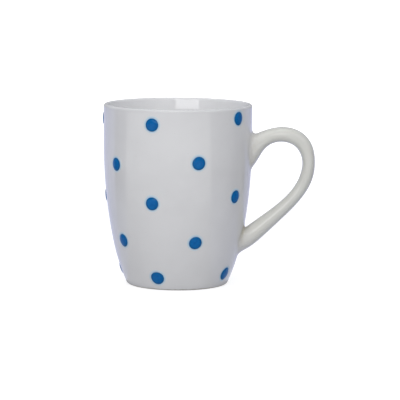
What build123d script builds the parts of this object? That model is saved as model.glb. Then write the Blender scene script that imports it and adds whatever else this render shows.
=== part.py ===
"""Barrel-shaped stoneware mug with a strap handle and raised dots of coloured slip.

Millimetres, +Z up. The origin is the centre of the foot, in the plane that the mug stands on, and the
handle points along +X. Each piece is a separate closed solid in its own STEP file:

    mug_body              the wall, lip, floor and foot ring, one turned shape
    handle                the strap, cut to the wall at both ends
    upper_handle_slip     the clay slip that bonds each end of the handle to the wall, as a thin bed under
    lower_handle_slip     the end of the strap and a fillet squeezed out round it
    dot_ROW_N             one raised drop of slip on the wall, counted round from the handle
"""

from build123d import *
from math import cos, radians, sin, tan
import os

# Body: an upper wall that is a plain cylinder, eased out inside to a thinner lip, then three tangent arcs
# that draw in to the foot.
HEIGHT = 101.5
MOUTH_R = 41.5
WALL = 3.6  # above the shoulder
LIP_WALL = 2.6  # across the lip, which is a full round
LIP_LEAN = 8.0  # degrees that the inside leans out where it meets the lip
SHOULDER_Z = 80.0  # the wall is straight above this height
OUTER_WALL = [(40.15, 52.0), (35.9, 24.0), (28.1, 0.0)]  # where each arc ends, as radius and height
INNER_WALL = [(36.4, 52.0), (31.2, 24.0), (23.4, 6.5)]
FLOOR_Z = 6.5
INNER_CORNER_R = 9.0

# Foot: a flat ring with a shallow recess inside it.
FOOT_OUTER_CORNER_R = 2.0
FOOT_RING_INNER_R = 22.4
FOOT_INNER_CORNER_R = 0.7
RECESS_R = 21.4
RECESS_Z = 2.0

# Handle: rungs across the strap, from the upper root round the loop to the lower root. Each is the outer
# edge and the inner edge, both as (x, z), and the strap's width along Y there. The end rungs are buried.
HANDLE_RUNGS = [
    ((37.0, 81.6), (37.0, 61.5), 19.0),
    ((41.5, 83.9), (41.2, 65.4), 17.4),
    ((44.6, 85.3), (44.2, 69.4), 15.6),
    ((48.6, 86.9), (47.6, 75.0), 13.4),
    ((54.4, 88.5), (52.4, 79.4), 11.8),
    ((61.6, 88.7), (59.6, 80.6), 11.2),
    ((69.4, 85.9), (65.8, 78.1), 11.2),
    ((75.3, 78.6), (69.2, 72.8), 11.2),
    ((77.0, 69.0), (69.8, 67.2), 11.2),
    ((75.2, 58.7), (68.0, 60.0), 11.2),
    ((68.8, 48.0), (62.6, 51.6), 11.2),
    ((58.6, 37.2), (53.0, 42.8), 11.4),
    ((48.6, 27.6), (45.2, 37.0), 12.4),
    ((43.0, 22.7), (41.0, 33.9), 13.6),
    ((38.8, 19.9), (38.4, 32.0), 15.0),
    ((35.4, 18.2), (36.9, 31.0), 16.2),
    ((30.5, 16.2), (32.5, 28.5), 17.6),
]

# Slip: a thin bed under each end of the strap, and a flared collar squeezed out round it. The rungs are the
# collar's, in the handle's own form, and run from inside the wall out to where the collar thins away.
SLIP_BED = 0.4
UPPER_SLIP_RUNGS = [
    ((37.0, 92.5), (37.0, 56.5), 26.0),
    ((41.5, 87.4), (41.2, 62.9), 19.8),
    ((43.1, 85.6), (42.8, 66.2), 17.4),
    ((44.8, 85.6), (44.4, 69.2), 16.0),
]
LOWER_SLIP_RUNGS = [
    ((29.5, 10.5), (33.0, 42.0), 23.6),
    ((34.6, 16.0), (37.9, 37.0), 18.2),
    ((37.6, 18.5), (39.5, 34.3), 16.6),
    ((40.6, 20.7), (40.6, 33.9), 15.0),
]

# Dots: for each row, every drop's angle round the wall from the handle and its height. The second and
# fourth rows leave out the drop that the handle's roots would cover.
DOT_ROWS = {
    "top": [(36, 93.4), (107, 94.2), (180, 93.1), (-107.4, 93.1), (-34.2, 95.6)],
    "upper": [(72, 71.4), (143, 70.6), (-142.2, 69.8), (-71.2, 72.3)],
    "middle": [(37, 51.6), (107, 50.2), (-179, 49.6), (-107.8, 49.7), (-34.8, 52.2)],
    "lower": [(72, 27.4), (143, 28.2), (-142.0, 27.1), (-71.6, 27.8)],
    "bottom": [(34, 7.8), (108, 7.4), (179, 8.1), (-107.8, 7.2), (-29.0, 7.9)],
}
DOT_R = 3.65
DOT_RISE = 0.65
DOT_FULLNESS = 0.55  # a quarter of an ellipse, near enough
DOT_ROOT = 1.2  # how far a drop's blank runs into the wall before the wall is cut from it


def wall_curve(radius, start_z, ends):
    """The profile of one face of the wall: a vertical line from start_z, then tangent arcs to each end."""
    edges = [Line((radius, start_z), (radius, SHOULDER_Z))]
    for end in ends:
        last = edges[-1]
        edges.append(TangentArc(last @ 1, end, tangent=last % 1))
    return edges


def turned(edges):
    """The closed profile of edges turned about Z, with its seam at +Y, away from the handle and the dots."""
    profile = Plane.XZ * make_face(edges)
    return Rot(Z=90) * revolve(profile, Axis.Z)


def outer_blank(grow=0.0):
    """The outside of the mug as a solid with no hollow, its wall moved out by grow. It cuts what sits on
    the wall, so that the faces meet exactly."""
    top = HEIGHT + grow
    ends = [(r + grow, z) for r, z in OUTER_WALL]
    edges = wall_curve(MOUTH_R + grow, top, ends)
    edges += [Polyline(ends[-1], (0, 0), (0, top), (MOUTH_R + grow, top))]
    return turned(edges)


def corner(face, point):
    """The vertex of a flat profile that lies at point."""
    return face.vertices().sort_by_distance(Vector(*point))[0]


def mug_body():
    round_r = LIP_WALL / 2
    lip_r, lip_z = MOUTH_R - round_r, HEIGHT - round_r
    lean = radians(LIP_LEAN)
    lip_end = (lip_r - round_r * cos(lean), lip_z + round_r * sin(lean))
    inner_r = MOUTH_R - WALL
    ease_z = lip_end[1] - (lip_end[0] - inner_r) / tan(lean / 2)
    outer = wall_curve(MOUTH_R, lip_z, OUTER_WALL)
    inner = wall_curve(inner_r, ease_z, INNER_WALL)
    ease = TangentArc((inner_r, ease_z), lip_end, tangent=(0, 1))
    lip = ThreePointArc((MOUTH_R, lip_z), (lip_r, HEIGHT), lip_end)
    foot = Polyline(
        OUTER_WALL[-1],
        (FOOT_RING_INNER_R, 0),
        (RECESS_R, RECESS_Z),
        (0, RECESS_Z),
        (0, FLOOR_Z),
        INNER_WALL[-1],
    )
    face = make_face([*outer, foot, *inner, ease, lip])
    face = fillet(corner(face, OUTER_WALL[-1]), FOOT_OUTER_CORNER_R)
    face = fillet(corner(face, INNER_WALL[-1]), INNER_CORNER_R)
    for point in [(FOOT_RING_INNER_R, 0), (RECESS_R, RECESS_Z)]:
        face = fillet(corner(face, point), FOOT_INNER_CORNER_R)
    return turned(face.edges())


def oval(depth, width):
    """A flat oval in two halves, which meet at the sides of the strap."""
    reach = depth / 2 * 4 / 3  # a cubic curve goes three quarters of the way to its inner points
    side = width / 2
    outer_half = Bezier((0, -side), (reach, -side), (reach, side), (0, side))
    inner_half = Bezier((0, side), (-reach, side), (-reach, -side), (0, -side))
    return make_face([outer_half, inner_half])


def strap(rungs):
    """A solid of oval section, swept along the middle of the rungs from one to the next."""
    sections = []
    middles = []
    for outer, inner, width in rungs:
        outer, inner = Vector(outer[0], 0, outer[1]), Vector(inner[0], 0, inner[1])
        across = outer - inner
        middle = (outer + inner) / 2
        plane = Plane(middle, x_dir=across, z_dir=across.cross(Vector(0, 1, 0)))
        sections.append(plane * oval(across.length, width))
        middles.append(middle)
    return sweep(sections, Spline(middles), multisection=True)


def wall_point(angle, height, body):
    """The point of the wall at an angle from the handle and a height, and the wall's normal there."""
    out = Vector(cos(radians(angle)), sin(radians(angle)), 0)
    hit, normal = body.find_intersection_points(Axis((0, 0, height), out))[-1]
    return hit, normal


def dot(angle, height, body):
    """One drop: a low dome square to the wall, with the wall cut from under it."""
    point, normal = wall_point(angle, height, body)
    dome = Bezier(
        (DOT_R, 0),
        (DOT_R, DOT_RISE * DOT_FULLNESS),
        (DOT_R * DOT_FULLNESS, DOT_RISE),
        (0, DOT_RISE),
    )
    side = [Polyline(dome @ 1, (0, -DOT_ROOT), (DOT_R, -DOT_ROOT), dome @ 0), dome]
    drop = revolve(Plane.XZ * make_face(side), Axis.Z)
    drop = Plane(point, z_dir=normal) * drop
    return drop - body


def main():
    os.makedirs("parts", exist_ok=True)
    pieces = {"mug_body": mug_body()}
    body = outer_blank()
    handle = strap(HANDLE_RUNGS) - outer_blank(SLIP_BED)
    pieces["handle"] = handle
    pieces["upper_handle_slip"] = strap(UPPER_SLIP_RUNGS) - body - handle
    pieces["lower_handle_slip"] = strap(LOWER_SLIP_RUNGS) - body - handle
    for row, places in DOT_ROWS.items():
        for number, (angle, height) in enumerate(places, 1):
            pieces[f"dot_{row}_{number}"] = dot(angle, height, body)
    for name, shape in pieces.items():
        export_step(shape, f"parts/{name}.step")


main()
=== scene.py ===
from math import cos, pi, radians, sin, tau
from random import Random

import bpy
import numpy as np
from mathutils import Matrix, Vector


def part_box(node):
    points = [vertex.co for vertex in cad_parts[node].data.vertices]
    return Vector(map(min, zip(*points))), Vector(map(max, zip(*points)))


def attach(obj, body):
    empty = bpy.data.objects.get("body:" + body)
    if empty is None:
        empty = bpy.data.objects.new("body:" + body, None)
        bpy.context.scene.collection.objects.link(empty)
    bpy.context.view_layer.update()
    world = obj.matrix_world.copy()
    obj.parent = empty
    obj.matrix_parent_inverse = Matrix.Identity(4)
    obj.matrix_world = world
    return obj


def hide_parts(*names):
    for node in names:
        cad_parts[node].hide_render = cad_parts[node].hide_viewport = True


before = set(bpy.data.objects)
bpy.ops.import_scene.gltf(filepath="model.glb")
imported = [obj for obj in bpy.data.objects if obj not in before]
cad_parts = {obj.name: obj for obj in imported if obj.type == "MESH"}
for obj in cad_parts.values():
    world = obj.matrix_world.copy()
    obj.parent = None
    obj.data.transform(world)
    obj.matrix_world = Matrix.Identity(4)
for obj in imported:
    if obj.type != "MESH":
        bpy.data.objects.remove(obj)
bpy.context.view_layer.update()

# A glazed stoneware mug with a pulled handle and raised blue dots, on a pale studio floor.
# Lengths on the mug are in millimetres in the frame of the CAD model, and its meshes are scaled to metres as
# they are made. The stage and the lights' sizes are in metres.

MM = 0.001
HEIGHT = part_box("mug_body")[1].z / MM

# Body
MOUTH_R = 41.5
WALL = 3.6
LIP_WALL = 2.6
LIP_LEAN = 8.0  # degrees that the inside leans out where it meets the lip
SHOULDER_Z = 80.0
OUTER_WALL = [(40.15, 52.0), (35.9, 24.0), (28.1, 0.0)]  # where each tangent arc ends, as radius and height
INNER_WALL = [(36.4, 52.0), (31.2, 24.0), (23.4, 6.5)]
FLOOR_Z = 6.5
INNER_CORNER_R = 9.0
FOOT_OUTER_CORNER_R = 2.0
FOOT_RING_INNER_R = 22.4
FOOT_INNER_CORNER_R = 0.7
RECESS_R = 21.4
RECESS_Z = 2.0
BODY_SEGMENTS = 320
PROFILE_STEP = 0.8

# The wall's unevenness: how far it swells out of round, and the rings left by throwing.
OVAL_SWELL = 0.10
THREE_SIDED_SWELL = 0.05
RING_SWELL = 0.012
RING_PITCH = 9
RINGS_START = 20  # the rings reach their full depth at this height

# Handle: rungs across the strap, each the outer edge, the inner edge, both as (x, z), and the width along Y.
HANDLE_RUNGS = [
    ((37.0, 81.6), (37.0, 61.5), 19.0),
    ((41.5, 83.9), (41.2, 65.4), 17.4),
    ((44.6, 85.3), (44.2, 69.4), 15.6),
    ((48.6, 86.9), (47.6, 75.0), 13.4),
    ((54.4, 88.5), (52.4, 79.4), 11.8),
    ((61.6, 88.7), (59.6, 80.6), 11.2),
    ((69.4, 85.9), (65.8, 78.1), 11.2),
    ((75.3, 78.6), (69.2, 72.8), 11.2),
    ((77.0, 69.0), (69.8, 67.2), 11.2),
    ((75.2, 58.7), (68.0, 60.0), 11.2),
    ((68.8, 48.0), (62.6, 51.6), 11.2),
    ((58.6, 37.2), (53.0, 42.8), 11.4),
    ((48.6, 27.6), (45.2, 37.0), 12.4),
    ((43.0, 22.7), (41.0, 33.9), 13.6),
    ((38.8, 19.9), (38.4, 32.0), 15.0),
    ((35.4, 18.2), (36.9, 31.0), 16.2),
    ((30.5, 16.2), (32.5, 28.5), 17.6),
]
STRAP_AROUND = 96
STRAP_ALONG = 200
CROSSING_STEPS = 2400  # along the strap, to find where it meets the wall
STRAP_ROOT = 1.0  # how far the strap's ends run into the wall
OVAL_POWER = 0.87  # under 1 squares the strap's oval a little

# Collars: the slip squeezed out round the strap's roots
COLLAR_STEPS = 14
COLLAR_FEATHER = 1.2  # how far a collar's edge runs on under the wall
COLLAR_FEATHER_DEPTH = 0.08
COLLAR_BURIED = 0.6  # how deep its hidden faces lie

# Dots: for each row, every drop's angle round the wall from the handle and its height.
DOT_ROWS = {
    "top": [(36, 93.4), (107, 94.2), (180, 93.1), (-107.4, 93.1), (-34.2, 95.6)],
    "upper": [(72, 71.4), (143, 70.6), (-142.2, 69.8), (-71.2, 72.3)],
    "middle": [(37, 51.6), (107, 50.2), (-179, 49.6), (-107.8, 49.7), (-34.8, 52.2)],
    "lower": [(72, 27.4), (143, 28.2), (-142.0, 27.1), (-71.6, 27.8)],
    "bottom": [(34, 7.8), (108, 7.4), (179, 8.1), (-107.8, 7.2), (-29.0, 7.9)],
}
DOT_R = 3.65
DOT_RISE = 0.65
DOT_ROOT = 0.5  # how deep a drop runs into the wall
DOT_SAG = 0.05  # how far its middle has slumped, in radii
DOT_SEGMENTS = 64
DOT_RIM = 1.4  # where the glaze that the colour has bled into ends, in radii of the drop
# Section of a drop from its middle out over that glaze: part of the radius, part of the rise.
DOT_SECTION = [
    (0.0, 1.0), (0.3, 0.975), (0.55, 0.89), (0.74, 0.72), (0.87, 0.49), (0.95, 0.27), (1.0, 0.14),
    (1.06, 0.065), (1.15, 0.045), (DOT_RIM - 0.06, 0.035), (DOT_RIM, -0.03),
]


# ---------------------------------------------------------------- curves

def cubic(knots, values):
    """The natural cubic curve through rows of values at the knots, as a function of an array of places."""
    knots, values = np.asarray(knots, float), np.asarray(values, float)
    count, gaps = len(knots), np.diff(knots)
    slopes = np.diff(values, axis=0) / gaps[:, None]
    system, turning = np.eye(count), np.zeros_like(values)
    for i in range(1, count - 1):
        system[i, i - 1 : i + 2] = gaps[i - 1], 2 * (gaps[i - 1] + gaps[i]), gaps[i]
        turning[i] = 6 * (slopes[i] - slopes[i - 1])
    bend = np.linalg.solve(system, turning)

    def at(places):
        i = np.clip(np.searchsorted(knots, places) - 1, 0, count - 2)
        gap = gaps[i][..., None]
        done = (places - knots[i])[..., None]
        left = (knots[i + 1] - places)[..., None]
        curved = (bend[i] * left**3 + bend[i + 1] * done**3) / (6 * gap)
        from_last = (values[i] / gap - bend[i] * gap / 6) * left
        to_next = (values[i + 1] / gap - bend[i + 1] * gap / 6) * done
        return curved + from_last + to_next

    return at


def rotated(vector, angle):
    """A flat vector turned anticlockwise by an angle in radians."""
    x, y = vector
    return np.array([x * cos(angle) - y * sin(angle), x * sin(angle) + y * cos(angle)])


def tangent_arcs(start, heading, ends):
    """Points along arcs from start to each of ends, the first leaving along heading and all tangent."""
    points = [np.array(start, float)]
    heading = np.array(heading, float)
    for end in ends:
        chord = np.array(end) - points[-1]
        length = np.linalg.norm(chord)
        lean = np.arctan2(heading[0] * chord[1] - heading[1] * chord[0], heading @ chord)
        steps = int(length / PROFILE_STEP) + 1
        origin = points[-1]
        for i in range(1, steps + 1):
            part = i / steps
            reach = length * sin(lean * part) / sin(lean)
            points.append(origin + reach * rotated(chord / length, lean * (part - 1)))
        heading = rotated(heading, 2 * lean)
    return points


def rounded(before, corner, after, radius, steps=8):
    """Points of the arc that rounds the corner between two straight runs."""
    before, corner, after = (np.array(p, float) for p in (before, corner, after))
    one = (before - corner) / np.linalg.norm(before - corner)
    two = (after - corner) / np.linalg.norm(after - corner)
    half = np.arccos(one @ two) / 2
    inward = (one + two) / np.linalg.norm(one + two)
    centre = corner + inward * radius / sin(half)
    first, last = corner + one * radius / np.tan(half), corner + two * radius / np.tan(half)
    spokes = first - centre, last - centre
    sweep = pi - 2 * half
    weights = [(sin(sweep * (1 - i / steps)), sin(sweep * i / steps)) for i in range(steps + 1)]
    return [centre + (spokes[0] * a + spokes[1] * b) / sin(sweep) for a, b in weights]


# ---------------------------------------------------------------- the wall

OUTER_FACE = np.array([(MOUTH_R, HEIGHT)] + tangent_arcs((MOUTH_R, SHOULDER_Z), (0, -1), OUTER_WALL))


def unevenness(angle, z):
    """How far the hand-finished wall stands out from a true turned shape."""
    oval = OVAL_SWELL * np.sin(2 * angle + 0.7)
    three_sided = THREE_SIDED_SWELL * np.sin(3 * angle + z / 30)
    rings = RING_SWELL * np.sin(tau * z / RING_PITCH + angle) * np.clip(z / RINGS_START, 0, 1)
    return oval + three_sided + rings


def wall_radius(angle, z):
    """The radius of the outer wall at angles and heights."""
    return np.interp(z, OUTER_FACE[::-1, 1], OUTER_FACE[::-1, 0]) + unevenness(angle, z)


def on_wall(angle, z, lift=0.0):
    """Points on the outer wall at angles and heights, raised by lift along the wall's normal."""
    nearby = 0.5
    lean = (wall_radius(angle, z + nearby) - wall_radius(angle, z - nearby)) / (2 * nearby)
    square = np.sqrt(1 + lean**2)
    radius = wall_radius(angle, z) + lift / square
    height = z - lift * lean / square
    return np.stack([radius * np.cos(angle), radius * np.sin(angle), height], axis=-1)


def outside(points):
    """How far points are outside the outer wall, level with them."""
    angle = np.arctan2(points[..., 1], points[..., 0])
    return np.hypot(points[..., 0], points[..., 1]) - wall_radius(angle, points[..., 2])


# ---------------------------------------------------------------- meshes

def new_piece(name, points, faces, replaced):
    """A smooth mesh piece on the CAD body that stands for the CAD nodes in replaced."""
    mesh = bpy.data.meshes.new(name)
    mesh.from_pydata([tuple(p * MM) for p in points], [], faces)
    mesh.validate()
    mesh.polygons.foreach_set("use_smooth", [True] * len(mesh.polygons))
    piece = bpy.data.objects.new(name, mesh)
    bpy.context.scene.collection.objects.link(piece)
    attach(piece, "root")
    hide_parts(*replaced)
    return piece


def grid_faces(rows, columns, close_rows=False):
    """Quads between the rows of a grid whose columns close on themselves."""
    faces = []
    for i in range(rows if close_rows else rows - 1):
        below, above = i * columns, (i + 1) % rows * columns
        for j in range(columns):
            k = (j + 1) % columns
            faces.append((below + j, below + k, above + k, above + j))
    return faces


def cap_faces(first, columns, middle, flip=False):
    """Triangles from a ring of vertices to a middle one."""
    ring = [(first + j, first + (j + 1) % columns) for j in range(columns)]
    return [(b, a, middle) if flip else (a, b, middle) for a, b in ring]


def paint(piece, name, values):
    """A number at each vertex that a material can read by name."""
    layer = piece.data.attributes.new(name, "FLOAT", "POINT")
    layer.data.foreach_set("value", np.asarray(values, dtype=np.float32))


# ---------------------------------------------------------------- handle

def strap_line():
    """The strap's rungs as one smooth function of the distance along its middle, and its whole length."""
    rungs = np.array([[*outer, *inner, width] for outer, inner, width in HANDLE_RUNGS])
    middles = (rungs[:, :2] + rungs[:, 2:4]) / 2
    knots = np.r_[0, np.cumsum(np.linalg.norm(np.diff(middles, axis=0), axis=1))]
    return cubic(knots, rungs), knots[-1]


def strap_points(line, along, around):
    """Points on the strap's surface at distances along it and angles round it, from the outer edge."""
    rung = line(along)
    flat = np.sign(np.cos(around)) * np.abs(np.cos(around)) ** OVAL_POWER
    wide = np.sign(np.sin(around)) * np.abs(np.sin(around)) ** OVAL_POWER
    middle, half = (rung[..., :2] + rung[..., 2:4]) / 2, (rung[..., :2] - rung[..., 2:4]) / 2
    edge = middle + half * flat[..., None]
    return np.stack([edge[..., 0], wide * rung[..., 4] / 2, edge[..., 1]], axis=-1)


def wall_crossings(line, length, around):
    """For each angle round the strap, the distances along it where it leaves the wall and comes back."""
    fine = np.linspace(0, length, CROSSING_STEPS)
    places, angles = np.meshgrid(fine, around, indexing="ij")
    proud = outside(strap_points(line, places, angles)) > 0
    first = fine[np.argmax(proud, axis=0)]
    last = fine[len(fine) - 1 - np.argmax(proud[::-1], axis=0)]
    return first, last


def creaminess(proud):
    """How creamy the handle's glaze is at distances outside the wall."""
    return np.clip(0.2 + proud / 10, 0, 1)


def build_handle(line, leaves, returns, around):
    """The strap, run a little way into the wall at both ends, which the wall hides."""
    share = np.linspace(0, 1, STRAP_ALONG)[:, None]
    start, end = leaves - STRAP_ROOT, returns + STRAP_ROOT
    angles = np.broadcast_to(around, (STRAP_ALONG, len(around)))
    points = strap_points(line, start + (end - start) * share, angles)
    ends = [points[0].mean(axis=0), points[-1].mean(axis=0)]
    count = points.size // 3
    faces = grid_faces(STRAP_ALONG, STRAP_AROUND)
    faces += cap_faces(0, STRAP_AROUND, count, flip=True)
    faces += cap_faces(count - STRAP_AROUND, STRAP_AROUND, count + 1)
    every = np.vstack([points.reshape(-1, 3), ends])
    piece = new_piece("pulled_handle", every, faces, ["handle"])
    proud = np.clip(outside(every), 0, None)
    paint(piece, "cream", creaminess(proud))
    paint(piece, "warmth", 0.8 * np.exp(-proud / 4))
    return piece


def build_collar(name, node, line, roots, outward, around, on_strap, on_side, stain):
    """The slip squeezed out round a root of the strap: a hollow fillet from the strap to the wall.

    on_strap and on_side are its reach along the strap and over the wall, each at the outer edge, the sides
    and the inner edge of the strap. stain is how brown the glaze is in the crease at the inner edge.
    """
    outer, inner = (np.cos(around) + 1) ** 2 / 4, (1 - np.cos(around)) ** 2 / 4
    ragged = 1 + 0.06 * np.sin(3 * around + 1) + 0.04 * np.sin(7 * around)

    def reach(sizes):
        return (sizes[1] + (sizes[0] - sizes[1]) * outer + (sizes[2] - sizes[1]) * inner) * ragged

    corner = strap_points(line, roots, around)
    strap_end = strap_points(line, roots + outward * reach(on_strap), around)
    angle = np.arctan2(corner[:, 1], corner[:, 0])
    flat = np.stack([angle * wall_radius(angle, corner[:, 2]), corner[:, 2]], axis=-1)
    run = np.roll(flat, -1, axis=0) - np.roll(flat, 1, axis=0)
    away = np.stack([run[:, 1], -run[:, 0]], axis=-1) / np.linalg.norm(run, axis=1)[:, None]
    away *= np.sign(np.sum(away * (flat - flat.mean(axis=0)), axis=1))[:, None]

    def ring(beyond, lift):
        """The collar's outline on the wall, moved out by beyond and raised by lift."""
        places = flat + away * (reach(on_side) + beyond)[:, None]
        return on_wall(places[:, 0] / wall_radius(angle, places[:, 1]), places[:, 1], lift)

    wall_end = ring(0, 0.0)
    rows = []
    for part in np.arange(COLLAR_STEPS + 1) / COLLAR_STEPS:
        rows.append(strap_end * (1 - part) ** 2 + corner * 2 * part * (1 - part) + wall_end * part**2)
    rows.append(ring(COLLAR_FEATHER, -COLLAR_FEATHER_DEPTH))
    rows.append(ring(COLLAR_FEATHER, -COLLAR_BURIED))
    rows.append(corner)
    inward = corner.mean(axis=0) - strap_end
    rows.append(strap_end + inward * COLLAR_BURIED / np.linalg.norm(inward, axis=1)[:, None])
    points = np.concatenate(rows)
    faces = grid_faces(len(rows), len(around), close_rows=True)
    piece = new_piece(name, points, faces, [node])
    across = np.repeat([min(i / COLLAR_STEPS, 1) for i in range(len(rows))], len(around))
    crease = 1 - (2 * across - 1) ** 2
    paint(piece, "cream", creaminess(outside(points)) * (1 - across))
    paint(piece, "warmth", 0.4 - 0.35 * across + 0.2 * crease)
    paint(piece, "stain", stain * np.tile(inner, len(rows)) * crease)
    return piece


# ---------------------------------------------------------------- body and dots

def body_profile():
    """The body's outline from the middle of the underside, out round the foot, up, over the lip and down."""
    outer = [tuple(p) for p in OUTER_FACE[1:] if p[1] > 3 * FOOT_OUTER_CORNER_R / 2][::-1]
    inner_r = MOUTH_R - WALL
    inner = [tuple(p) for p in tangent_arcs((inner_r, SHOULDER_Z), (0, -1), INNER_WALL)]
    corner_reach = INNER_CORNER_R * 0.75
    inner = [p for p in inner if p[1] > FLOOR_Z + corner_reach]
    round_r = LIP_WALL / 2
    lip_r, lip_z = MOUTH_R - round_r, HEIGHT - round_r
    lean = radians(LIP_LEAN)
    lip = [(lip_r + round_r * cos(t), lip_z + round_r * sin(t)) for t in np.linspace(0, pi - lean, 19)]
    ease_z = lip[-1][1] - (lip[-1][0] - inner_r) / np.tan(lean / 2)
    upper_steps = np.arange(SHOULDER_Z + PROFILE_STEP, lip_z - PROFILE_STEP / 2, PROFILE_STEP)
    ease = [tuple(p) for p in tangent_arcs((inner_r, ease_z), (0, 1), [lip[-1]])]
    upper_inner = [(inner_r, z) for z in upper_steps if z < ease_z - PROFILE_STEP / 2]
    line = [(r, RECESS_Z) for r in np.linspace(0, RECESS_R - 2, 8)]
    line += rounded((0, RECESS_Z), (RECESS_R, RECESS_Z), (FOOT_RING_INNER_R, 0), FOOT_INNER_CORNER_R)
    line += rounded((RECESS_R, RECESS_Z), (FOOT_RING_INNER_R, 0), (MOUTH_R, 0), FOOT_INNER_CORNER_R)
    line += rounded((0, 0), OUTER_WALL[-1], outer[0], FOOT_OUTER_CORNER_R)
    line += outer
    line += [(MOUTH_R, z) for z in upper_steps]
    line += lip
    line += ease[-2::-1]
    line += upper_inner[::-1]
    line += inner
    line += rounded(inner[-1], INNER_WALL[-1], (0, FLOOR_Z), INNER_CORNER_R, 16)
    line += [(r, FLOOR_Z) for r in np.linspace(12, 0, 8)]
    return np.array(line)


def nearest(points, places):
    """How far each point is from the nearest of places."""
    gaps = np.full(len(points), np.inf)
    for place in places:
        gaps = np.minimum(gaps, np.linalg.norm(points - place, axis=1))
    return gaps


def build_body(roots, stained):
    """The turned body. roots are the points where the strap meets it, and stained those with brown glaze."""
    line = body_profile()
    angles = np.linspace(0, tau, BODY_SEGMENTS, endpoint=False)
    angle, row = np.meshgrid(angles, np.arange(1, len(line) - 1))
    radius, z = line[row, 0], line[row, 1]
    radius = radius + unevenness(angle, z) * np.clip(radius / MOUTH_R, 0, 1)
    rings = np.stack([radius * np.cos(angle), radius * np.sin(angle), z], axis=-1).reshape(-1, 3)
    points = np.vstack([rings, [0, 0, RECESS_Z], [0, 0, FLOOR_Z]])
    faces = grid_faces(len(line) - 2, BODY_SEGMENTS)
    faces += cap_faces(0, BODY_SEGMENTS, len(rings), flip=True)
    faces += cap_faces(len(rings) - BODY_SEGMENTS, BODY_SEGMENTS, len(rings) + 1)
    piece = new_piece("glazed_body", points, faces, ["mug_body"])
    rows = np.r_[np.repeat(np.arange(len(line) - 2), BODY_SEGMENTS), 0, len(line)]
    paint(piece, "inside", rows > np.argmax(line[1:-1, 1]))
    paint(piece, "warmth", 0.2 * np.exp(-nearest(points, roots) / 4))
    paint(piece, "stain", 0.6 * np.exp(-((nearest(points, stained) / 2.4) ** 2)))
    return piece


def build_dot(name, angle, z, seed):
    """A drop of slip that has spread a little unevenly, with glaze pooled round its foot."""
    chance = Random(seed)
    size = DOT_R * chance.uniform(0.97, 1.03)
    rise = DOT_RISE * chance.uniform(0.9, 1.1)
    swells = [(n, chance.uniform(0.004, 0.012), chance.uniform(0, tau)) for n in (2, 3)]
    section = np.array(DOT_SECTION)
    reach = np.r_[np.linspace(0.06, 0.8, 12), np.linspace(0.84, DOT_RIM, 20)]
    lift = cubic(section[:, 0], section[:, 1:])(reach)[:, 0] * rise
    around = np.linspace(0, tau, DOT_SEGMENTS, endpoint=False)
    outline = 1 + sum(depth * np.sin(n * around + phase) for n, depth, phase in swells)
    across = size * reach[:, None] * (np.cos(around) * outline)
    up = size * reach[:, None] * (np.sin(around) * outline) - DOT_SAG * size * (1 - reach[:, None] ** 2)
    radius = wall_radius(angle, z)
    lean = (wall_radius(angle, z + 1) - wall_radius(angle, z - 1)) / 2
    angles, heights = angle + across / radius, z + up / np.sqrt(1 + lean**2)
    rows = [on_wall(a, h, k) for a, h, k in zip(angles, heights, lift)]
    rows.append(on_wall(angles[-1], heights[-1], -DOT_ROOT))
    top = on_wall(np.array(angle), np.array(z - DOT_SAG * size), rise)
    bottom = on_wall(np.array(angle), np.array(z), -DOT_ROOT)
    points = np.vstack([*rows, top, bottom])
    count = len(rows) * DOT_SEGMENTS
    faces = [f[::-1] for f in grid_faces(len(rows), DOT_SEGMENTS)]
    faces += cap_faces(0, DOT_SEGMENTS, count)
    faces += cap_faces(count - DOT_SEGMENTS, DOT_SEGMENTS, count + 1, flip=True)
    piece = new_piece("raised_" + name, points, faces, [name])
    paint(piece, "spread", [*np.repeat(np.r_[reach, DOT_RIM], DOT_SEGMENTS), 0, DOT_RIM])
    return piece


# ---------------------------------------------------------------- materials

# Colours in linear light. Where there are two, the colour wanders between them.
WHITE_GLAZE = ((0.82, 0.82, 0.82), (0.795, 0.795, 0.795))
CREAM_GLAZE = ((0.765, 0.765, 0.71), (0.74, 0.74, 0.685))
# The inside is painted a lighter white than the same glaze outside: painted light inside the mug.
INSIDE_GLAZE_PAINTED_LIGHTER = (0.85, 0.85, 0.85)
POOLED_GLAZE = (0.66, 0.615, 0.48)
STAINED_GLAZE = (0.43, 0.385, 0.225)
SPECK = (0.42, 0.36, 0.28)
# Bare clay of the foot ring, darker than the glaze: real clay, and also painted shade along the base.
BARE_CLAY_AND_BASE_SHADE = (0.60, 0.58, 0.535)
BARE_CLAY_ROUGHNESS = (0.8, 0.8, 0.8)
COBALT = ((0.0, 0.158, 0.48), (0.0, 0.126, 0.41))
# Darker blue for the dots' edges: painted shade round the rim of each dome.
COBALT_EDGE_SHADE = (0.0, 0.118, 0.32)
COBALT_HAZE = (0.50, 0.70, 0.84)
GLAZE_IOR = 1.52


def shader(name):
    """A new node material, with its tree and its shader."""
    material = bpy.data.materials.new(name)
    material.use_nodes = True
    tree = material.node_tree
    return material, tree, tree.nodes["Principled BSDF"]


def node(tree, kind, **settings):
    """A new node, with each setting put on its input of that name or else on the node itself."""
    made = tree.nodes.new(kind)
    for key, value in settings.items():
        if key in made.inputs:
            made.inputs[key].default_value = value
        else:
            setattr(made, key, value)
    return made


def noise(tree, size, detail=2.0, roughness=0.5):
    """Noise with features of about size millimetres, fixed to the object."""
    place = node(tree, "ShaderNodeTexCoord")
    made = node(tree, "ShaderNodeTexNoise", Scale=1 / (size * MM), Detail=detail, Roughness=roughness)
    tree.links.new(place.outputs["Object"], made.inputs["Vector"])
    return made.outputs["Fac"]


def spread_over(tree, source, low, high, to_low, to_high):
    """source from low to high, mapped to the range to_low to to_high and held there."""
    made = node(tree, "ShaderNodeMapRange")
    made.inputs["From Min"].default_value = low
    made.inputs["From Max"].default_value = high
    made.inputs["To Min"].default_value = to_low
    made.inputs["To Max"].default_value = to_high
    tree.links.new(source, made.inputs["Value"])
    return made.outputs["Result"]


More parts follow.
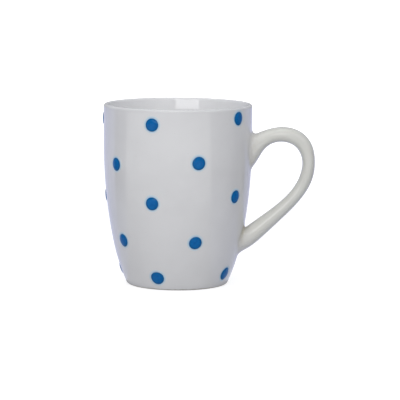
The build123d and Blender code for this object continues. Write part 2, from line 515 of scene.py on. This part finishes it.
def times(tree, one, two):
    made = node(tree, "ShaderNodeMath", operation="MULTIPLY")
    tree.links.new(one, made.inputs[0])
    tree.links.new(two, made.inputs[1])
    return made.outputs[0]


def blended(tree, share, one, two):
    """Colour one turning to colour two by share. Each is a colour or another node's output."""
    made = node(tree, "ShaderNodeMix", data_type="RGBA")
    tree.links.new(share, made.inputs["Factor"])
    for name, colour in (("A", one), ("B", two)):
        socket = next(s for s in made.inputs if s.name == name and s.type == "RGBA")
        if isinstance(colour, tuple):
            socket.default_value = (*colour, 1)
        else:
            tree.links.new(colour, socket)
    return next(s for s in made.outputs if s.type == "RGBA")


def attribute(tree, name):
    return node(tree, "ShaderNodeAttribute", attribute_name=name).outputs["Fac"]


def bumpy(tree, bsdf, layers):
    """Stacks bumps on a shader. Each layer is (height source, depth in millimetres, strength)."""
    normal = None
    for height, depth, strength in layers:
        made = node(tree, "ShaderNodeBump", Strength=strength, Distance=depth * MM)
        tree.links.new(height, made.inputs["Height"])
        if normal:
            tree.links.new(normal, made.inputs["Normal"])
        normal = made.outputs["Normal"]
    tree.links.new(normal, bsdf.inputs["Normal"])


def glaze_colour(tree):
    """White glaze: cloudy over a centimetre or two and faintly specked, creamier on the handle, yellower
    where it has pooled round the joints, brown in the deepest crease, and lighter inside as painted light."""
    cloud = spread_over(tree, noise(tree, 16, 3), 0.35, 0.65, 0, 1)
    white = blended(tree, cloud, *WHITE_GLAZE)
    cream = blended(tree, cloud, *CREAM_GLAZE)
    # Painted light: the inside takes a lighter white than the outside.
    white = blended(tree, attribute(tree, "inside"), white, INSIDE_GLAZE_PAINTED_LIGHTER)
    colour = blended(tree, attribute(tree, "cream"), white, cream)
    pools = spread_over(tree, noise(tree, 2.2, 4), 0.35, 0.7, 0.25, 0.8)
    colour = blended(tree, times(tree, attribute(tree, "warmth"), pools), colour, POOLED_GLAZE)
    stains = spread_over(tree, noise(tree, 1.6, 2), 0.35, 0.6, 0.65, 1)
    colour = blended(tree, times(tree, attribute(tree, "stain"), stains), colour, STAINED_GLAZE)
    specks = spread_over(tree, noise(tree, 0.5, 1), 0.76, 0.8, 0, 0.35)
    return blended(tree, specks, colour, SPECK)


def glaze():
    """The glossy glaze over the body, the handle and its slip, wiped off the foot ring, whose bare band is
    also painted shade along the base.
    """
    material, tree, bsdf = shader("white_glaze")
    rough = spread_over(tree, noise(tree, 9, 2), 0.3, 0.7, 0.02, 0.06)
    # The bare band is real clay and also painted shade along the base.
    bare_and_base_shade = bare_foot_and_base_shade(tree)
    tree.links.new(blended(tree, bare_and_base_shade, glaze_colour(tree), BARE_CLAY_AND_BASE_SHADE), bsdf.inputs["Base Color"])
    tree.links.new(blended(tree, bare_and_base_shade, rough, BARE_CLAY_ROUGHNESS), bsdf.inputs["Roughness"])
    bsdf.inputs["IOR"].default_value = GLAZE_IOR
    bumpy(tree, bsdf, [(noise(tree, 1.1, 2), 0.02, 0.12), (noise(tree, 7, 2), 0.1, 0.12)])
    return material


def bare_foot_and_base_shade(tree):
    """1 where the foot ring was wiped clean of glaze, with an uneven edge. The band is widened to also paint
    the shade along the base.
    """
    place = node(tree, "ShaderNodeTexCoord")
    split = node(tree, "ShaderNodeSeparateXYZ")
    tree.links.new(place.outputs["Object"], split.inputs["Vector"])
    edge = node(tree, "ShaderNodeMath", operation="SUBTRACT")
    wander = spread_over(tree, noise(tree, 3, 2), 0.3, 0.7, 0.5 * MM, 1.1 * MM)
    tree.links.new(split.outputs["Z"], edge.inputs[0])
    tree.links.new(wander, edge.inputs[1])
    return spread_over(tree, edge.outputs[0], -0.1 * MM, 0.1 * MM, 1, 0)


def blue_slip():
    """Cobalt slip under the glaze: darker towards its edge as painted shade round the dome's rim, and
    bleeding out into the white.
    """
    material, tree, bsdf = shader("cobalt_slip")
    spread = attribute(tree, "spread")
    cloud = spread_over(tree, noise(tree, 1.6, 3), 0.35, 0.65, 0, 1)
    colour = blended(tree, cloud, *COBALT)
    # Painted shade: the blue darkens towards the rim of the dome.
    colour = blended(tree, spread_over(tree, spread, 0.65, 0.97, 0, 1), colour, COBALT_EDGE_SHADE)
    thinning = spread_over(tree, spread, 1.03, DOT_RIM, 0, 1)
    haze = blended(tree, thinning, COBALT_HAZE, glaze_colour(tree))
    colour = blended(tree, spread_over(tree, spread, 0.98, 1.06, 0, 1), colour, haze)
    tree.links.new(colour, bsdf.inputs["Base Color"])
    tree.links.new(spread_over(tree, noise(tree, 4, 2), 0.3, 0.7, 0.04, 0.1), bsdf.inputs["Roughness"])
    bsdf.inputs["IOR"].default_value = GLAZE_IOR
    facing = node(tree, "ShaderNodeLayerWeight").outputs["Facing"]
    tree.links.new(spread_over(tree, facing, 0.6, 0.95, 0.12, 0.7), bsdf.inputs["Specular IOR Level"])
    bumpy(tree, bsdf, [(noise(tree, 0.9, 2), 0.02, 0.12)])
    return material


def glow(name, colour, strength, dull=0.0):
    """A stage material that gives off even light, over a dull white of reflectance dull. Returns the
    material, its node tree and its shader."""
    material, tree, bsdf = shader(name)
    bsdf.inputs["Base Color"].default_value = (dull, dull, dull, 1)
    bsdf.inputs["Roughness"].default_value = 1.0
    bsdf.inputs["Specular IOR Level"].default_value = 0.0
    bsdf.inputs["Emission Color"].default_value = (*colour, 1)
    bsdf.inputs["Emission Strength"].default_value = strength
    return material, tree, bsdf


# ---------------------------------------------------------------- stage, lights and camera

CAMERA_TURN = 2.6  # degrees that the camera stands round from straight in front of the handle's plane
CAMERA_AWAY = 1306.9
CAMERA_UP = 217.2
CAMERA_LENS = 210.7
CAMERA_ROLL = 0.404
SENSOR_WIDTH = 36
LOOK_AT = (12.65, 47.1)  # to the right of the mug's axis, and up
LIGHTS_AIM_UP = 50  # the height that the lights are aimed at

STAGE_R = 6.0  # metres, of the floor and the backdrop round it
STAGE_SEGMENTS = 96
FLOOR_FADE = (0.3, 1.2)  # metres from the mug over which the floor brightens to the backdrop's white
FLOOR_GLOW = (0.78, 1.02)  # near and far
FLOOR_DULL = 0.4
BACKDROP_GLOW = 1.05

FADE = (0.08, 0.38)  # metres over which the glow of the table top changes
FAR_FADE = (0.9, 2.8)  # and over which it dies away, to this share
FAR_SHARE = 0.3
CARD_STEPS = 48
NEAR_EDGE = 0.03
FAR_EDGE = 3.0
WHITE = (1, 1, 1)
LAVENDER = (0.78, 0.81, 1)
RIGHT_LAVENDER = (0.70, 0.73, 1)
LEFT_LAVENDER = (0.70, 0.735, 1)
# Each card's name, its start and end in degrees round from the camera, its near and far edge in metres, how
# bright it is near and far, and its colour.
CARDS = [
    ("front_card", (-84, 50), (NEAR_EDGE, FAR_EDGE), (0.75, 1.32), WHITE),
    ("right_near_card", (50, 125), (NEAR_EDGE, FADE[1]), (1.0, 0), LAVENDER),
    ("right_card", (125, 180), (NEAR_EDGE, FAR_EDGE), (0.9, 0.9), RIGHT_LAVENDER),
    ("left_card", (180, 248), (NEAR_EDGE, FAR_EDGE), (1.05, 1.05), LEFT_LAVENDER),
    ("left_near_card", (248, 276), (NEAR_EDGE, FADE[1]), (1.0, 0), LAVENDER),
]
# Each softbox's name, its degrees round from the camera and up, how far away it is in millimetres, its width
# and height in metres, and its watts. The glaze shows reflections of these.
SOFTBOXES = [
    ("key_softbox", -15.5, 17, 1500, 1.1, 0.52, 6.4),
    ("fill_softbox", 38, 24, 1800, 1.4, 1.2, 2.1),
    ("top_softbox", 0, 82, 1400, 1.0, 1.0, 4.0),
]
# The same, then the colour. The glaze shows no reflections of these.
UNSEEN_SOFTBOXES = [
    ("front_softbox", -8, 20, 1500, 1.0, 0.9, 1.6, WHITE),
    ("back_softbox", 178, 14, 1500, 1.0, 0.9, 6, WHITE),
    ("left_rim_softbox", -130, 12, 1500, 1.0, 0.9, 2.3, (0.5, 0.58, 1)),
    ("right_rim_softbox", 130, 12, 1500, 1.0, 0.9, 1.8, (0.55, 0.63, 1)),
]


def turned(x, y, z, degrees=CAMERA_TURN):
    """A point in metres, given in millimetres to the right, away and up as seen from the camera, turned
    about the mug's axis by degrees."""
    a = radians(degrees)
    return Vector((x * cos(a) - y * sin(a), x * sin(a) + y * cos(a), z)) * MM


def add_camera():
    """A long lens, low in front of the mug and a little to the handle's side."""
    camera = bpy.data.objects.new("camera", bpy.data.cameras.new("camera"))
    bpy.context.scene.collection.objects.link(camera)
    camera.location = turned(0, -CAMERA_AWAY, CAMERA_UP)
    aim = turned(LOOK_AT[0], 0, LOOK_AT[1]) - camera.location
    roll = Matrix.Rotation(radians(CAMERA_ROLL), 3, "Z")
    camera.rotation_euler = (aim.to_track_quat("-Z", "Y").to_matrix() @ roll).to_euler()
    camera.data.lens = CAMERA_LENS
    camera.data.sensor_width = SENSOR_WIDTH
    camera.data.clip_end = 100
    bpy.context.scene.camera = camera


def add_softbox(name, degrees, up, away, width, height, watts, colour=WHITE):
    """A soft rectangular light at an angle round from the camera, aimed at the middle of the mug."""
    data = bpy.data.lights.new(name, "AREA")
    data.shape = "RECTANGLE"
    data.size = width
    data.size_y = height
    data.energy = watts
    data.color = colour
    light = bpy.data.objects.new(name, data)
    bpy.context.scene.collection.objects.link(light)
    level, rise = away * cos(radians(up)), away * sin(radians(up))
    light.location = turned(0, -level, LIGHTS_AIM_UP + rise, CAMERA_TURN + degrees)
    aim = turned(0, 0, LIGHTS_AIM_UP) - light.location
    light.rotation_euler = aim.to_track_quat("-Z", "Y").to_euler()
    light.visible_camera = False
    return light


def stage_piece(name, points, faces, material, **seen):
    """A mesh that is part of the studio and not of the mug. seen says which rays it is hidden from."""
    mesh = bpy.data.meshes.new(name)
    mesh.from_pydata(points, [], faces)
    mesh.materials.append(material)
    piece = bpy.data.objects.new(name, mesh)
    bpy.context.scene.collection.objects.link(piece)
    for key, value in seen.items():
        setattr(piece, key, value)


def distance(tree):
    """How many metres from the mug a point of the table top is."""
    place = node(tree, "ShaderNodeTexCoord")
    length = node(tree, "ShaderNodeVectorMath", operation="LENGTH")
    tree.links.new(place.outputs["Object"], length.inputs[0])
    return length.outputs["Value"]


def add_stage():
    """A round pale floor and a white wall round it, which only the camera sees."""
    turns = [tau * i / STAGE_SEGMENTS for i in range(STAGE_SEGMENTS)]
    ring = [(STAGE_R * cos(turn), STAGE_R * sin(turn)) for turn in turns]
    floor = [(x, y, 0) for x, y in ring]
    pale, tree, bsdf = glow("pale_floor", WHITE, FLOOR_GLOW[0], FLOOR_DULL)
    strength = spread_over(tree, distance(tree), *FLOOR_FADE, *FLOOR_GLOW)
    tree.links.new(strength, bsdf.inputs["Emission Strength"])
    stage_piece(
        "floor", floor, [tuple(range(STAGE_SEGMENTS))], pale, visible_diffuse=False, visible_glossy=False,
    )
    wall = [(x, y, z) for z in (-0.1, STAGE_R) for x, y in ring]
    white = glow("white_backdrop", WHITE, BACKDROP_GLOW)[0]
    stage_piece(
        "backdrop", wall, grid_faces(2, STAGE_SEGMENTS), white,
        visible_diffuse=False, visible_glossy=False, visible_shadow=False,
    )


def add_card(name, turns, reach, strengths, colour):
    """A glowing sector of the table top round the mug, which only reflections show.

    turns are the degrees round from the camera where it starts and ends. reach is how near and far it lies,
    in metres. strengths are how bright it is up to FADE[0] and from FADE[1] metres away, before it dies away
    over FAR_FADE.
    """
    points = []
    for turn in np.linspace(*turns, CARD_STEPS + 1):
        points += [turned(0, -r / MM, 1, CAMERA_TURN + turn) for r in reach]
    faces = [(2 * i, 2 * i + 1, 2 * i + 3, 2 * i + 2) for i in range(CARD_STEPS)]
    material, tree, bsdf = glow(name, colour, strengths[0])
    away = distance(tree)
    near = spread_over(tree, away, *FADE, *strengths)
    far = spread_over(tree, away, *FAR_FADE, 1, FAR_SHARE)
    tree.links.new(times(tree, near, far), bsdf.inputs["Emission Strength"])
    stage_piece(
        name, points, faces, material, visible_camera=False, visible_diffuse=False, visible_shadow=False,
    )


def add_world():
    """An even white room, dimmer below the horizon, where the table would be."""
    world = bpy.data.worlds.new("room")
    bpy.context.scene.world = world
    world.use_nodes = True
    tree = world.node_tree
    place = node(tree, "ShaderNodeTexCoord")
    split = node(tree, "ShaderNodeSeparateXYZ")
    tree.links.new(place.outputs["Generated"], split.inputs["Vector"])
    share = spread_over(tree, split.outputs["Z"], -0.35, 0.1, 0, 1)
    colour = blended(tree, share, (0.315, 0.318, 0.34), (0.40, 0.405, 0.43))
    tree.links.new(colour, tree.nodes["Background"].inputs["Color"])


# ---------------------------------------------------------------- the scene

def light_scene():
    """The camera, the studio and all its lights."""
    bpy.context.scene.view_settings.view_transform = "Standard"
    add_camera()
    add_stage()
    add_world()
    for card in CARDS:
        add_card(*card)
    for softbox in SOFTBOXES:
        add_softbox(*softbox)
    for softbox in UNSEEN_SOFTBOXES:
        add_softbox(*softbox).visible_glossy = False


def build_mug():
    """The body, the handle, its two collars and the dots, with their materials."""
    white, blue = glaze(), blue_slip()
    line, length = strap_line()
    around = np.linspace(0, tau, STRAP_AROUND, endpoint=False)
    leaves, returns = wall_crossings(line, length, around)
    upper_root, lower_root = strap_points(line, leaves, around), strap_points(line, returns, around)
    underside = np.cos(around) < -0.7
    pieces = [
        build_body(np.vstack([upper_root, lower_root]), lower_root[underside]),
        build_handle(line, leaves, returns, around),
        build_collar(
            "upper_slip_fillet", "upper_handle_slip", line, leaves, 1, around,
            on_strap=(4.4, 2.2, 3.0), on_side=(4.2, 2.0, 2.0), stain=0.15,
        ),
        build_collar(
            "lower_slip_fillet", "lower_handle_slip", line, returns, -1, around,
            on_strap=(4.6, 2.2, 2.6), on_side=(2.2, 2.0, 5.4), stain=0.8,
        ),
    ]
    for piece in pieces:
        piece.data.materials.append(white)
    seed = 0
    for row, places in DOT_ROWS.items():
        for number, (degrees, z) in enumerate(places, 1):
            seed += 1
            build_dot(f"dot_{row}_{number}", radians(degrees), z, seed).data.materials.append(blue)


light_scene()
build_mug()
